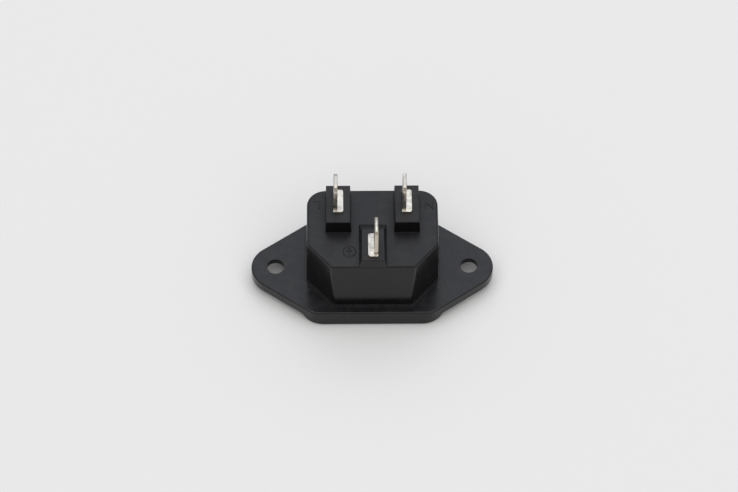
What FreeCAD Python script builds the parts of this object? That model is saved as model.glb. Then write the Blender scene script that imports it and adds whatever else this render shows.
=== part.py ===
import FreeCAD, Part
import math
import os
from FreeCAD import Vector

os.makedirs("parts", exist_ok=True)

# Millimetres. Origin: middle of the mating face, on the line through the two screw holes.
# +X along the flange, +Y from the earth pin towards the line and neutral pins, +Z to the tabs.

# Flange and bezel
holeSpacing = 40.0
flangeLength = 50.0        # along X
flangeDepth = 23.8         # across Y
tipRadius = 5.4            # flange ends
earSlope = 35.5            # degrees between the slanting sides and X
flangeCornerRadius = 3.0
earThickness = 2.3
bezelWidth = 30.0
bezelCornerRadius = 4.8
bezelStep = 1.9            # the bezel stands this far in front of the ears
screwHoleDiameter = 3.6
sinkDiameter = 5.6         # countersink at the front of each ear
plateRounding = 0.3
bezelRounding = 0.5

# Rear body
bodyHeight = 12.4          # from the flange's rear to the rear face
bodyWidthRoot, bodyWidthRear = 27.2, 26.85
bodyFrontRoot, bodyFrontRear = 9.85, 9.1      # earth side, distance from the hole line
bodyBackRoot, bodyBackRear = 10.5, 10.4
cornerSlope = 49.5         # degrees between the cut corners and X
cornerReach = 12.45        # from the origin to the plane of a cut corner
bodyBackRadius = 3.8
bodySideRadius = 0.8
bodyFrontRadius = 0.8
bodyRounding = 0.5
plinthReach = 0.4          # low plinth on the flange, beyond the body's root
plinthHeight = 0.15

# Socket
socketWidth = 24.5
socketHeight = 16.5
socketWall = 1.4           # plastic left behind the socket's slanting corners
socketBackRadius = 2.4
socketFrontRadius = 0.8
floorThickness = 1.5
mouthSize = 0.6            # lead-in at the mouth

# Terminals
pinPitch = 14.0            # line to neutral
earthOffset = 4.0          # the line pin's row to the earth pin, across Y
pinThickness = 2.0         # along X, also the terminal's stock
pinWidth = 4.0             # along Y
pinRecess = 2.0            # line and neutral tips behind the mating face
earthLead = 0.6            # the earth tip is this much nearer, to make first
tipNarrowing = 0.5
tipLength = 1.3
rootWidth = 5.7
rootRadius = 0.5
rootRise = 0.5             # root above its boss
lineRootY = 4.75
earthRootY = -5.6
jogStart = 0.5             # above the socket floor
jogLength = 1.5
tabThickness = 0.85
tabWidth = 4.8
tabShift = 0.15            # tab's middle behind the root's middle
tabCut = (0.65, 1.15)      # corner cuts at the tab's end, across and along
tabHoleDiameter = 1.5
tabHoleDrop = 3.1
lineTabHeight = 6.6        # above the root
earthTabHeight = 6.8

# Bosses
bossWidthRoot, bossWidthTop = 5.3, 4.95
earthBossWidthRoot, earthBossWidthTop = 5.6, 4.8
lineBossHeight = 3.3
lineBossFront, lineBossBack = -0.35, 9.1
earthBossHeight = 2.25
earthBossFront, earthBossBack = -9.2, -1.15
earthRampLength = 2.65     # slope behind the earth boss
bossDraft = 0.1
bossRounding = 0.25
roundingTurns = (0, 22.5, 45, 67.5, 90)       # degrees, the steps of every rounded edge

flangeRear = bezelStep + earThickness
rearFace = flangeRear + bodyHeight
socketFloor = rearFace - floorThickness


def roundedWire(points, radii, z):
    """Closed wire through the corner points, each corner rounded to its radius."""
    count = len(points)
    corners = [Vector(x, y, z) for x, y in points]
    edges, ends = [], []
    for i in range(count):
        here, radius = corners[i], radii[i]
        before = (corners[i - 1] - here).normalize()
        after = (corners[(i + 1) % count] - here).normalize()
        half = before.getAngle(after) / 2
        reach = radius / math.tan(half)
        middle = (before + after).normalize()
        centre = here + middle * (radius / math.sin(half))
        start, end = here + before * reach, here + after * reach
        edges.append(Part.Arc(start, centre - middle * radius, end).toShape())
        ends.append((start, end))
    for i in range(count):
        edges.append(Part.makeLine(ends[i][1], ends[(i + 1) % count][0]))
    return Part.Wire(Part.__sortEdges__(edges))


def prism(wire, height):
    return Part.Face(wire).extrude(Vector(0, 0, height))


def loft(*wires):
    return Part.makeLoft(list(wires), True, True)


def rectangle(x0, x1, y0, y1, z):
    return Part.makePolygon([Vector(x0, y0, z), Vector(x1, y0, z), Vector(x1, y1, z),
                             Vector(x0, y1, z), Vector(x0, y0, z)])


def rounding(radius):
    """Steps round a quarter circle, as the distance drawn in and the height gained."""
    angles = [math.radians(turn) for turn in roundingTurns]
    return [(radius * (1 - math.cos(angle)), radius * math.sin(angle)) for angle in angles]


def flangeWire(grow, z):
    slope = math.radians(earSlope)
    middle, half, end = flangeLength / 2 - tipRadius, flangeDepth / 2 + grow, tipRadius + grow
    tip = middle + end / math.sin(slope)
    corner = middle + (end - half * math.cos(slope)) / math.sin(slope)
    points = [(-tip, 0), (-corner, -half), (corner, -half), (tip, 0), (corner, half), (-corner, half)]
    side = flangeCornerRadius + grow
    return roundedWire(points, [end, side, side, end, side, side], z)


def bezelWire(grow, z):
    x, y = bezelWidth / 2 + grow, flangeDepth / 2 + grow
    return roundedWire([(-x, -y), (x, -y), (x, y), (-x, y)], [bezelCornerRadius + grow] * 4, z)


def flangePlate():
    plate = [flangeWire(0, bezelStep)]
    plate += [flangeWire(-inset, flangeRear - plateRounding + rise) for inset, rise in rounding(plateRounding)]
    bezel = [bezelWire(0, bezelStep + earThickness / 2)]
    bezel += [bezelWire(-inset, bezelRounding - rise) for inset, rise in rounding(bezelRounding)]
    return loft(*plate).fuse(loft(*bezel))


def screwHole(x):
    depth = (sinkDiameter - screwHoleDiameter) / 2
    hole = Part.makeCylinder(screwHoleDiameter / 2, flangeRear, Vector(x, 0, 0))
    sink = Part.makeCone(sinkDiameter / 2, screwHoleDiameter / 2, depth, Vector(x, 0, bezelStep))
    return hole.fuse(sink)


def keyedWire(halfWidth, front, back, reach, radii, z):
    """Outline whose two corners on the earth side are cut off, each at its reach from the origin."""
    slope = math.radians(cornerSlope)
    x = (reach - front * math.cos(slope)) / math.sin(slope)
    low = (reach - halfWidth * math.sin(slope)) / math.cos(slope)
    points = [(-x, -front), (x, -front), (halfWidth, -low), (halfWidth, back), (-halfWidth, back),
              (-halfWidth, -low)]
    frontRadius, sideRadius, backRadius = radii
    return roundedWire(points, [frontRadius, frontRadius, sideRadius, backRadius, backRadius, sideRadius], z)


def bodyWire(share, grow, z):
    """Rear body's outline; share runs from 0 at the flange to 1 at the rear face."""
    def mix(root, rear):
        return root + (rear - root) * share
    return keyedWire(mix(bodyWidthRoot, bodyWidthRear) / 2 + grow, mix(bodyFrontRoot, bodyFrontRear) + grow,
                     mix(bodyBackRoot, bodyBackRear) + grow, cornerReach + grow,
                     (bodyFrontRadius, bodySideRadius, bodyBackRadius), z)


def rearBody():
    """Drafted body on its plinth, up to the rounded edge of the rear face."""
    sections = [(0, 0)]
    sections += [(bodyHeight - bodyRounding + rise, -inset) for inset, rise in rounding(bodyRounding)]
    body = loft(*[bodyWire(height / bodyHeight, grow, flangeRear + height) for height, grow in sections])
    return body.fuse(prism(bodyWire(0, plinthReach, flangeRear), plinthHeight))


def socketWire(grow, z):
    half, height = socketWidth / 2 + grow, socketHeight / 2 + grow
    reach = cornerReach - socketWall + grow
    return keyedWire(half, height, height, reach, (socketFrontRadius, socketFrontRadius, socketBackRadius), z)


def socketCavity():
    cavity = prism(socketWire(0, 0), socketFloor)
    return cavity.fuse(loft(socketWire(mouthSize, 0), socketWire(0, mouthSize)))


def boss(x, widths, front, back, ramp, height):
    root, top = widths[0] / 2, widths[1] / 2
    wires = [rectangle(x - root, x + root, front - bossDraft, back + ramp, rearFace)]
    for inset, rise in rounding(bossRounding):
        wires.append(rectangle(x - top + inset, x + top - inset, front + inset, back - inset,
                               rearFace + height - bossRounding + rise))
    return loft(*wires)


def lineBoss(x):
    return boss(x, (bossWidthRoot, bossWidthTop), lineBossFront, lineBossBack, bossDraft, lineBossHeight)


def earthBoss():
    return boss(0, (earthBossWidthRoot, earthBossWidthTop), earthBossFront, earthBossBack,
                earthRampLength, earthBossHeight)


def pin(y, tipZ):
    """Contact pin from its narrowed tip to the start of the jog."""
    x, half, cut = pinThickness / 2, pinWidth / 2, tipNarrowing
    top = socketFloor + jogStart
    tip = loft(rectangle(-x + cut, x - cut, y - half + cut, y + half - cut, tipZ),
               rectangle(-x, x, y - half, y + half, tipZ + tipLength))
    shank = Part.makeBox(pinThickness, pinWidth, top - tipZ - tipLength, Vector(-x, y - half, tipZ + tipLength))
    return tip.fuse(shank)


def jog(pinY, rootY):
    """Part of the plate moulded in, which carries the pin across to its root."""
    low, high = socketFloor + jogStart, socketFloor + jogStart + jogLength
    corners = [(pinY - pinWidth / 2, low), (pinY + pinWidth / 2, low),
               (rootY + rootWidth / 2, high), (rootY - rootWidth / 2, high)]
    wire = Part.makePolygon([Vector(-pinThickness / 2, y, z) for y, z in corners + corners[:1]])
    return Part.Face(wire).extrude(Vector(pinThickness, 0, 0))


def root(rootY, topZ, tabSide):
    low = socketFloor + jogStart + jogLength
    x, y = pinThickness / 2, rootWidth / 2
    points = [(-x, rootY - y), (x, rootY - y), (x, rootY + y), (-x, rootY + y)]
    sharp = 0.1
    radii = [rootRadius, sharp, sharp, rootRadius] if tabSide > 0 else [sharp, rootRadius, rootRadius, sharp]
    return prism(roundedWire(points, radii, low), topZ - low)


def tab(rootY, rootTop, height, tabSide):
    """Push-on tab along one side of the root."""
    middle, half, top = rootY + tabShift, tabWidth / 2, rootTop + height
    across, along = tabCut
    corners = [(-half, rootTop - rootRise), (half, rootTop - rootRise), (half, top - along),
               (half - across, top), (across - half, top), (-half, top - along)]
    x = pinThickness / 2 - tabThickness if tabSide > 0 else -pinThickness / 2
    wire = Part.makePolygon([Vector(x, middle + y, z) for y, z in corners + corners[:1]])
    plate = Part.Face(wire).extrude(Vector(tabThickness, 0, 0))
    return plate.cut(Part.makeCylinder(tabHoleDiameter / 2, tabThickness,
                                       Vector(x, middle, top - tabHoleDrop), Vector(1, 0, 0)))


def terminal(x, pinY, tipZ, rootY, bossHeight, tabHeight, tabSide):
    rootTop = rearFace + bossHeight + rootRise
    shape = pin(pinY, tipZ).fuse([jog(pinY, rootY), root(rootY, rootTop, tabSide),
                                  tab(rootY, rootTop, tabHeight, tabSide)]).removeSplitter()
    shape.translate(Vector(x, 0, 0))
    return shape


def housing(terminals):
    """One moulding: flange, bezel, body and bosses, closed round the terminals without a gap."""
    bosses = [lineBoss(-pinPitch / 2), lineBoss(pinPitch / 2), earthBoss()]
    shape = flangePlate().fuse([rearBody()] + bosses)
    shape = shape.cut(socketCavity())
    shape = shape.cut([screwHole(-holeSpacing / 2), screwHole(holeSpacing / 2)])
    return shape.cut(terminals).removeSplitter()


def build():
    lineY, earthY = earthOffset / 2, -earthOffset / 2
    line = terminal(-pinPitch / 2, lineY, pinRecess, lineRootY, lineBossHeight, lineTabHeight, -1)
    neutral = terminal(pinPitch / 2, lineY, pinRecess, lineRootY, lineBossHeight, lineTabHeight, -1)
    earth = terminal(0, earthY, pinRecess - earthLead, earthRootY, earthBossHeight, earthTabHeight, 1)
    return {"line_terminal": line, "neutral_terminal": neutral, "earth_terminal": earth,
            "housing": housing([line, neutral, earth])}


for name, shape in build().items():
    solid = shape.Solids[0] if len(shape.Solids) == 1 else shape
    solid.exportStep("parts/" + name + ".step")
    box = solid.BoundBox
    print(name, len(shape.Solids), "solid", solid.isValid(), round(solid.Volume, 1),
          [round(v, 2) for v in (box.XMin, box.YMin, box.ZMin, box.XMax, box.YMax, box.ZMax)])
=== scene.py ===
import bpy
import math
from mathutils import Matrix, Vector


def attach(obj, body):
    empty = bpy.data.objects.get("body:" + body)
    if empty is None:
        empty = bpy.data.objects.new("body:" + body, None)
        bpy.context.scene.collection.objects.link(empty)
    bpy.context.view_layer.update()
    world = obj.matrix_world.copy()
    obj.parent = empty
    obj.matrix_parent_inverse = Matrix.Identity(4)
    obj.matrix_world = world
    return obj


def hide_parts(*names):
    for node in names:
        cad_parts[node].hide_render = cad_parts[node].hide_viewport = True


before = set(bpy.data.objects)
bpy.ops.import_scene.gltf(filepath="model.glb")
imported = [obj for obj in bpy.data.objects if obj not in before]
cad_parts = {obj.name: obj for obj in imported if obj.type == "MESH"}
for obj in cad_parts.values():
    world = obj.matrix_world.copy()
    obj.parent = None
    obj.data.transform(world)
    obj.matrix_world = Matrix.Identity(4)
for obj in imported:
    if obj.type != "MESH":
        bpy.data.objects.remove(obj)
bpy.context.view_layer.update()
mm = 0.001
print("frame loaded")


# Shader maths: a sum or product of wires adds its Math nodes

def feed(slot, value):
    if isinstance(value, Wire):
        value.tree.links.new(value.socket, slot)
    else:
        slot.default_value = value


class Wire:
    def __init__(self, tree, socket):
        self.tree = tree
        self.socket = socket

    def maths(self, operation, *values):
        node = self.tree.nodes.new("ShaderNodeMath")
        node.operation = operation
        for slot, value in zip(node.inputs, values):
            feed(slot, value)
        return Wire(self.tree, node.outputs[0])

    def __add__(self, other):
        return self.maths("ADD", self, other)

    def __radd__(self, other):
        return self.maths("ADD", other, self)

    def __sub__(self, other):
        return self.maths("SUBTRACT", self, other)

    def __rsub__(self, other):
        return self.maths("SUBTRACT", other, self)

    def __mul__(self, other):
        return self.maths("MULTIPLY", self, other)

    def __rmul__(self, other):
        return self.maths("MULTIPLY", other, self)

    def __abs__(self):
        return self.maths("ABSOLUTE", self)

    def clipped(self):
        return self.maths("MINIMUM", self.maths("MAXIMUM", self, 0.0), 1.0)

    def ramp(self, low, high):       # 0 at low, 1 at high
        return ((self - low) * (1.0 / (high - low))).clipped()

    def swing(self, amount):         # a texture from 0 to 1 as a change about its middle
        return amount * (self - 0.5)


class Finish:
    def __init__(self, name):
        self.material = bpy.data.materials.new(name)
        self.material.use_nodes = True
        self.tree = self.material.node_tree
        self.tree.nodes.clear()

    def node(self, kind, settings=None, values=None, out=0):
        made = self.tree.nodes.new(kind)
        for name, value in (settings or {}).items():
            setattr(made, name, value)
        for name, value in (values or {}).items():
            feed(made.inputs[name], value)
        return Wire(self.tree, made.outputs[out]) if made.outputs else None

    def place(self):
        return self.node("ShaderNodeTexCoord", out="Object")

    def facing(self):
        return self.node("ShaderNodeNewGeometry", out="Normal")

    def along(self, axis, vector):
        return self.node("ShaderNodeSeparateXYZ", None, {"Vector": vector}, axis)

    def noise(self, place, size, detail=2.0, stretch=(1, 1, 1)):       # size of one blotch in metres
        scaled = self.node("ShaderNodeMapping", None, {"Vector": place, "Scale": stretch})
        return self.node("ShaderNodeTexNoise", None,
                         {"Vector": scaled, "Scale": 1.0 / size, "Detail": detail})

    def blend(self, mask, first, second):
        sockets = {0: mask, 6: first, 7: second}       # the colour sockets of a Mix node share their names
        return self.node("ShaderNodeMix", {"data_type": "RGBA"}, sockets, 2)

    def surface(self, values):
        shader = self.node("ShaderNodeBsdfPrincipled", None, values)
        self.node("ShaderNodeOutputMaterial", None, {"Surface": shader})
        return self.material


# Housing plastic: dark polished walls, and mottled faces on the flange and the rear, eroded in the mould

plastic = {
    "colour": (0.0030, 0.0030, 0.0036, 1),
    "worn": (0.0060, 0.0058, 0.0066, 1),
    "wornClouds": (0.35, 0.75),
    "eroded": (0.0080, 0.0081, 0.0098, 1),
    "erodedFacing": (0.45, 0.92),        # of the normal along Z, from none to all
    "mottled": (0.0150, 0.0148, 0.0150, 1),
    "mottledShares": (0.6, 0.4),         # of the clouds and of the grain
    "mottledRange": (0.46, 0.58),
    "wallRoughness": 0.20,
    "flangeRoughness": 0.22,
    "rearRoughness": 0.40,
    "rearHeights": (15.0 * mm, 16.0 * mm),    # from the flange's roughness to the rear's
    "ior": 1.38,
    "grain": 0.16 * mm,
    "grainDepth": 0.011 * mm,
    "grainSwing": 0.08,                  # of the roughness
    "cloud": 2.2 * mm,
    "cloudSwing": 0.08,
    "flow": 9.0 * mm,
    "flowStretch": (1, 1, 0.4),
    "flowSwing": 0.06,
    "edge": 0.11 * mm,
    "edgeSamples": 6,
}


def mouldedPlastic(name, erodedShare):
    finish = Finish(name)
    place = finish.place()
    grain = finish.noise(place, plastic["grain"])
    cloud = finish.noise(place, plastic["cloud"], detail=3.0)
    flow = finish.noise(place, plastic["flow"], stretch=plastic["flowStretch"])
    softEdge = finish.node("ShaderNodeBevel", {"samples": plastic["edgeSamples"]},
                           {"Radius": plastic["edge"]})
    relief = finish.node("ShaderNodeBump", None, {"Height": grain, "Strength": 1.0,
                                                  "Distance": plastic["grainDepth"], "Normal": softEdge})
    eroded = finish.along("Z", finish.facing()).ramp(*plastic["erodedFacing"]) * erodedShare
    rear = finish.along("Z", place).ramp(*plastic["rearHeights"])
    top = plastic["flangeRoughness"] + rear * (plastic["rearRoughness"] - plastic["flangeRoughness"])
    roughness = plastic["wallRoughness"] + eroded * (top - plastic["wallRoughness"])
    roughness = roughness + cloud.swing(plastic["cloudSwing"]) + flow.swing(plastic["flowSwing"])
    roughness = roughness + grain.swing(plastic["grainSwing"])
    colour = finish.blend(cloud.ramp(*plastic["wornClouds"]), plastic["colour"], plastic["worn"])
    cloudShare, grainShare = plastic["mottledShares"]
    speckle = (cloudShare * cloud + grainShare * grain).ramp(*plastic["mottledRange"])
    colour = finish.blend(eroded, colour, finish.blend(speckle, plastic["eroded"], plastic["mottled"]))
    return finish.surface({"Base Color": colour, "Roughness": roughness, "IOR": plastic["ior"],
                           "Normal": relief})


# Terminal metal: clouded tin with scratches along Z, and bare brass where the strip is cut

plating = {
    "tin": (0.59, 0.56, 0.50, 1),
    "dull": (0.40, 0.375, 0.33, 1),
    "dullClouds": (0.42, 0.66),
    "brass": (0.60, 0.54, 0.425, 1),
    "brassShare": 0.8,
    "brassFacing": (0.3, 0.7),           # of the normal along Y, from none to all
    "roughness": 0.24,
    "cloud": 1.1 * mm,
    "cloudSwing": 0.18,                  # of the roughness
    "scratch": 0.12 * mm,
    "scratchStretch": (1, 1, 0.12),
    "scratchSwing": 0.12,
    "scratchShare": 0.2,                 # of the depth of a dimple
    "dimple": 0.8 * mm,
    "dimpleDepth": 0.012 * mm,
}


def tinnedBrass(name):
    finish = Finish(name)
    place = finish.place()
    cloud = finish.noise(place, plating["cloud"], detail=4.0)
    scratch = finish.noise(place, plating["scratch"], stretch=plating["scratchStretch"])
    dimple = finish.noise(place, plating["dimple"], detail=1.0)
    relief = finish.node("ShaderNodeBump", None, {"Height": plating["scratchShare"] * scratch + dimple,
                                                  "Strength": 1.0, "Distance": plating["dimpleDepth"]})
    stamped = abs(finish.along("Y", finish.facing())).ramp(*plating["brassFacing"])
    colour = finish.blend(cloud.ramp(*plating["dullClouds"]), plating["tin"], plating["dull"])
    colour = finish.blend(plating["brassShare"] * stamped, colour, plating["brass"])
    roughness = plating["roughness"] + cloud.swing(plating["cloudSwing"])
    roughness = roughness + scratch.swing(plating["scratchSwing"])
    return finish.surface({"Base Color": colour, "Metallic": 1.0, "Roughness": roughness, "Normal": relief})


plasticFinish = mouldedPlastic("moulded_plastic", 1.0)
polishedFinish = mouldedPlastic("polished_plastic", 0.0)
metalFinish = tinnedBrass("tinned_brass")
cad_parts["housing"].material_slots[0].material = plasticFinish
print("materials made")


# Tools for the pieces

cleaning = {
    "weld": 0.001 * mm,
    "flat": math.radians(1),
    "sharp": math.radians(35),           # edges that turn further get a rim
}


def deselectAll():
    bpy.ops.object.select_all(action="DESELECT")


def selectOnly(piece):
    deselectAll()
    piece.select_set(True)
    bpy.context.view_layer.objects.active = piece


def enterEdit():
    bpy.ops.object.mode_set(mode="EDIT")


def leaveEdit():
    bpy.ops.object.mode_set(mode="OBJECT")


def editAll(piece):
    selectOnly(piece)
    enterEdit()
    bpy.ops.mesh.select_all(action="SELECT")


def mergeFaces(piece):
    editAll(piece)
    bpy.ops.mesh.customdata_custom_splitnormals_clear()
    bpy.ops.mesh.remove_doubles(threshold=cleaning["weld"])
    bpy.ops.mesh.dissolve_limited(angle_limit=cleaning["flat"])
    bpy.ops.mesh.normals_make_consistent(inside=False)
    bpy.ops.mesh.select_all(action="DESELECT")
    leaveEdit()


def bevelSharp(piece, width, segments):
    modifier = piece.modifiers.new("rim", "BEVEL")
    modifier.width = width
    modifier.segments = segments
    modifier.limit_method = "ANGLE"
    modifier.angle_limit = cleaning["sharp"]
    selectOnly(piece)
    bpy.ops.object.modifier_apply(modifier=modifier.name)


def paint(piece, finish):
    piece.data.materials.clear()
    piece.data.materials.append(finish)


# Terminals: merged copies of the frame's strips, thinned and chamfered at the tab's end, with soft rims

stamping = {
    "endReach": 1.3 * mm,
    "endChamfers": {"line_terminal": 0.10 * mm, "neutral_terminal": 0.10 * mm, "earth_terminal": 0.19 * mm},
    "thinning": 0.1 * mm,                # of the end, on its side towards -X
    "rim": 0.05 * mm,
    "rimSegments": 2,
    "smooth": math.radians(30),
}


def endHeight(piece):
    return max(vertex.co.z for vertex in piece.data.vertices) - stamping["endReach"]


def thinEnd(piece):
    height = endHeight(piece)
    end = [vertex for vertex in piece.data.vertices if vertex.co.z > height]
    side = min(vertex.co.x for vertex in end) + cleaning["weld"]
    for vertex in end:
        vertex.select = vertex.co.x < side
    enterEdit()
    bpy.ops.transform.translate(value=(stamping["thinning"], 0, 0))
    bpy.ops.mesh.select_all(action="DESELECT")
    leaveEdit()


def chamferEnd(piece, width):
    mesh = piece.data
    height = endHeight(piece)
    for edge in mesh.edges:
        first, second = [mesh.vertices[index].co for index in edge.vertices]
        inPlate = abs(first.x - second.x) < cleaning["weld"]
        edge.select = inPlate and min(first.z, second.z) > height
    enterEdit()
    bpy.ops.mesh.bevel(offset=width, segments=1)
    leaveEdit()


def plateTerminal(name):
    piece = bpy.data.objects.new(name + "_plated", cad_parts[name].data.copy())
    bpy.context.scene.collection.objects.link(piece)
    mergeFaces(piece)
    thinEnd(piece)
    chamferEnd(piece, stamping["endChamfers"][name])
    bevelSharp(piece, stamping["rim"], stamping["rimSegments"])
    bpy.ops.object.shade_smooth_by_angle(angle=stamping["smooth"])
    paint(piece, metalFinish)
    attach(piece, "root")
    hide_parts(name)


for name in stamping["endChamfers"]:
    plateTerminal(name)
print("terminals finished")


# Marks: raised on the rear face, upright when read from the +Y side

marks = {
    "face": 16.6 * mm,
    "sunk": 0.03 * mm,
    "rise": 0.09 * mm,
    "letterSize": 2.9 * mm,
    "letters": (("mark_line", "L", -11.2 * mm, 6.7 * mm), ("mark_neutral", "N", 11.7 * mm, 6.5 * mm)),
    "earth": (-4.8 * mm, -5.3 * mm),
    "ring": 1.3 * mm,
    "ringSegments": 48,
    "stroke": 0.2 * mm,
    "strokeSegments": 8,
    "stem": (-0.1 * mm, 0.95 * mm),      # along Y from the longest bar
    "bars": ((-0.1 * mm, 1.3 * mm), (-0.45 * mm, 0.85 * mm), (-0.8 * mm, 0.4 * mm)),    # place, length
    "rim": 0.03 * mm,
    "rimSegments": 1,
}
markHeight = marks["rise"] + marks["sunk"]
markMiddle = (marks["rise"] - marks["sunk"]) / 2


def finishMark(piece, name, x, y):
    piece.name = name
    mergeFaces(piece)
    bevelSharp(piece, marks["rim"], marks["rimSegments"])
    piece.rotation_euler = (0, 0, math.pi)
    piece.location = (x, y, marks["face"])
    bpy.ops.object.transform_apply(location=True, rotation=True, scale=True)
    paint(piece, polishedFinish)
    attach(piece, "root")


def letterMark(name, letter, x, y):
    deselectAll()
    bpy.ops.object.text_add(location=(0, 0, 0))
    text = bpy.context.object.data
    text.body = letter
    text.size = marks["letterSize"]
    text.align_x = "CENTER"
    text.align_y = "CENTER"
    text.extrude = markHeight / 2
    bpy.ops.object.convert(target="MESH")
    editAll(bpy.context.object)
    bpy.ops.transform.translate(value=(0, 0, markMiddle))
    leaveEdit()
    finishMark(bpy.context.object, name, x, y)


def strokeBar(x, y, width, length):
    deselectAll()
    bpy.ops.mesh.primitive_cube_add(size=1, location=(x, y, markMiddle), scale=(width, length, markHeight))
    return bpy.context.object


def earthMark(name):
    deselectAll()
    bpy.ops.mesh.primitive_torus_add(major_radius=marks["ring"], minor_radius=marks["stroke"] / 2,
                                     major_segments=marks["ringSegments"],
                                     minor_segments=marks["strokeSegments"])
    ring = bpy.context.object
    stemLow, stemHigh = marks["stem"]
    strokes = [strokeBar(0, (stemLow + stemHigh) / 2, marks["stroke"], stemHigh - stemLow)]
    strokes += [strokeBar(0, y, length, marks["stroke"]) for y, length in marks["bars"]]
    selectOnly(ring)
    for stroke in strokes:
        modifier = ring.modifiers.new("weld", "BOOLEAN")
        modifier.operation = "UNION"
        modifier.object = stroke
        bpy.ops.object.modifier_apply(modifier=modifier.name)
        bpy.data.objects.remove(stroke)
    finishMark(ring, name, *marks["earth"])


for name, letter, x, y in marks["letters"]:
    letterMark(name, letter, x, y)
earthMark("mark_earth")
print("marks raised")


# Floor, light and camera

studio = {
    "floor": 4.0,
    "floorColour": (0.805, 0.795, 0.78, 1),
    "floorRoughness": 0.9,
    "skyColour": (0.98, 0.99, 1.0, 1),
    "skyStrength": 0.45,
}


def makeFloor():
    deselectAll()
    bpy.ops.mesh.primitive_plane_add(size=studio["floor"])
    floor = bpy.context.object
    floor.name = "floor"
    finish = Finish("floor_paint")
    paint(floor, finish.surface({"Base Color": studio["floorColour"], "Roughness": studio["floorRoughness"],
                                 "Specular IOR Level": 0.0}))


def makeSky():
    world = bpy.data.worlds.new("room")
    bpy.context.scene.world = world
    world.use_nodes = True
    background = world.node_tree.nodes["Background"]
    background.inputs["Color"].default_value = studio["skyColour"]
    background.inputs["Strength"].default_value = studio["skyStrength"]


softboxes = {       # turn in degrees from +Y, rise in degrees from the floor, lengths in metres
    "softbox_back": {"turn": 4, "rise": 54, "distance": 1.0, "width": 0.9, "height": 0.8,
                     "glow": 1.10, "colour": (0.93, 0.97, 1.08)},
    "softbox_top": {"turn": 180, "rise": 74, "distance": 1.0, "width": 1.8, "height": 1.4,
                    "glow": 1.02, "colour": (1.0, 1.0, 1.01)},
}


def makeSoftbox(name, box):
    lamp = bpy.data.lights.new(name, "AREA")
    lamp.shape = "RECTANGLE"
    lamp.size = box["width"]
    lamp.size_y = box["height"]
    lamp.energy = box["glow"] * math.pi * box["width"] * box["height"]
    lamp.color = box["colour"]
    holder = bpy.data.objects.new(name, lamp)
    bpy.context.scene.collection.objects.link(holder)
    aim = (Matrix.Rotation(-math.radians(box["turn"]), 4, "Z")
           @ Matrix.Rotation(math.radians(box["rise"] - 90), 4, "X"))
    holder.matrix_world = aim @ Matrix.Translation((0, 0, box["distance"]))


view = {            # angles in degrees
    "elevation": 53.9,
    "yaw": 1.15,
    "roll": 0.63,
    "distance": 682 * mm,
    "target": (-0.61 * mm, 5.27 * mm, 4.0 * mm),
    "lens": 160,
    "sensor": 36,
    "nearest": 10 * mm,
}


def makeCamera():
    turn = (Matrix.Rotation(-math.radians(view["yaw"]), 4, "Z")
            @ Matrix.Rotation(math.radians(90 - view["elevation"]), 4, "X")
            @ Matrix.Rotation(math.radians(view["roll"]), 4, "Z"))
    camera = bpy.data.cameras.new("camera")
    camera.lens = view["lens"]
    camera.sensor_width = view["sensor"]
    camera.clip_start = view["nearest"]
    holder = bpy.data.objects.new("camera", camera)
    bpy.context.scene.collection.objects.link(holder)
    away = turn.to_3x3() @ Vector((0, 0, view["distance"]))
    holder.matrix_world = Matrix.Translation(Vector(view["target"]) + away) @ turn
    bpy.context.scene.camera = holder


makeFloor()
makeSky()
for name, box in softboxes.items():
    makeSoftbox(name, box)
makeCamera()
bpy.context.scene.view_settings.view_transform = "Standard"
print("floor, light and camera placed")
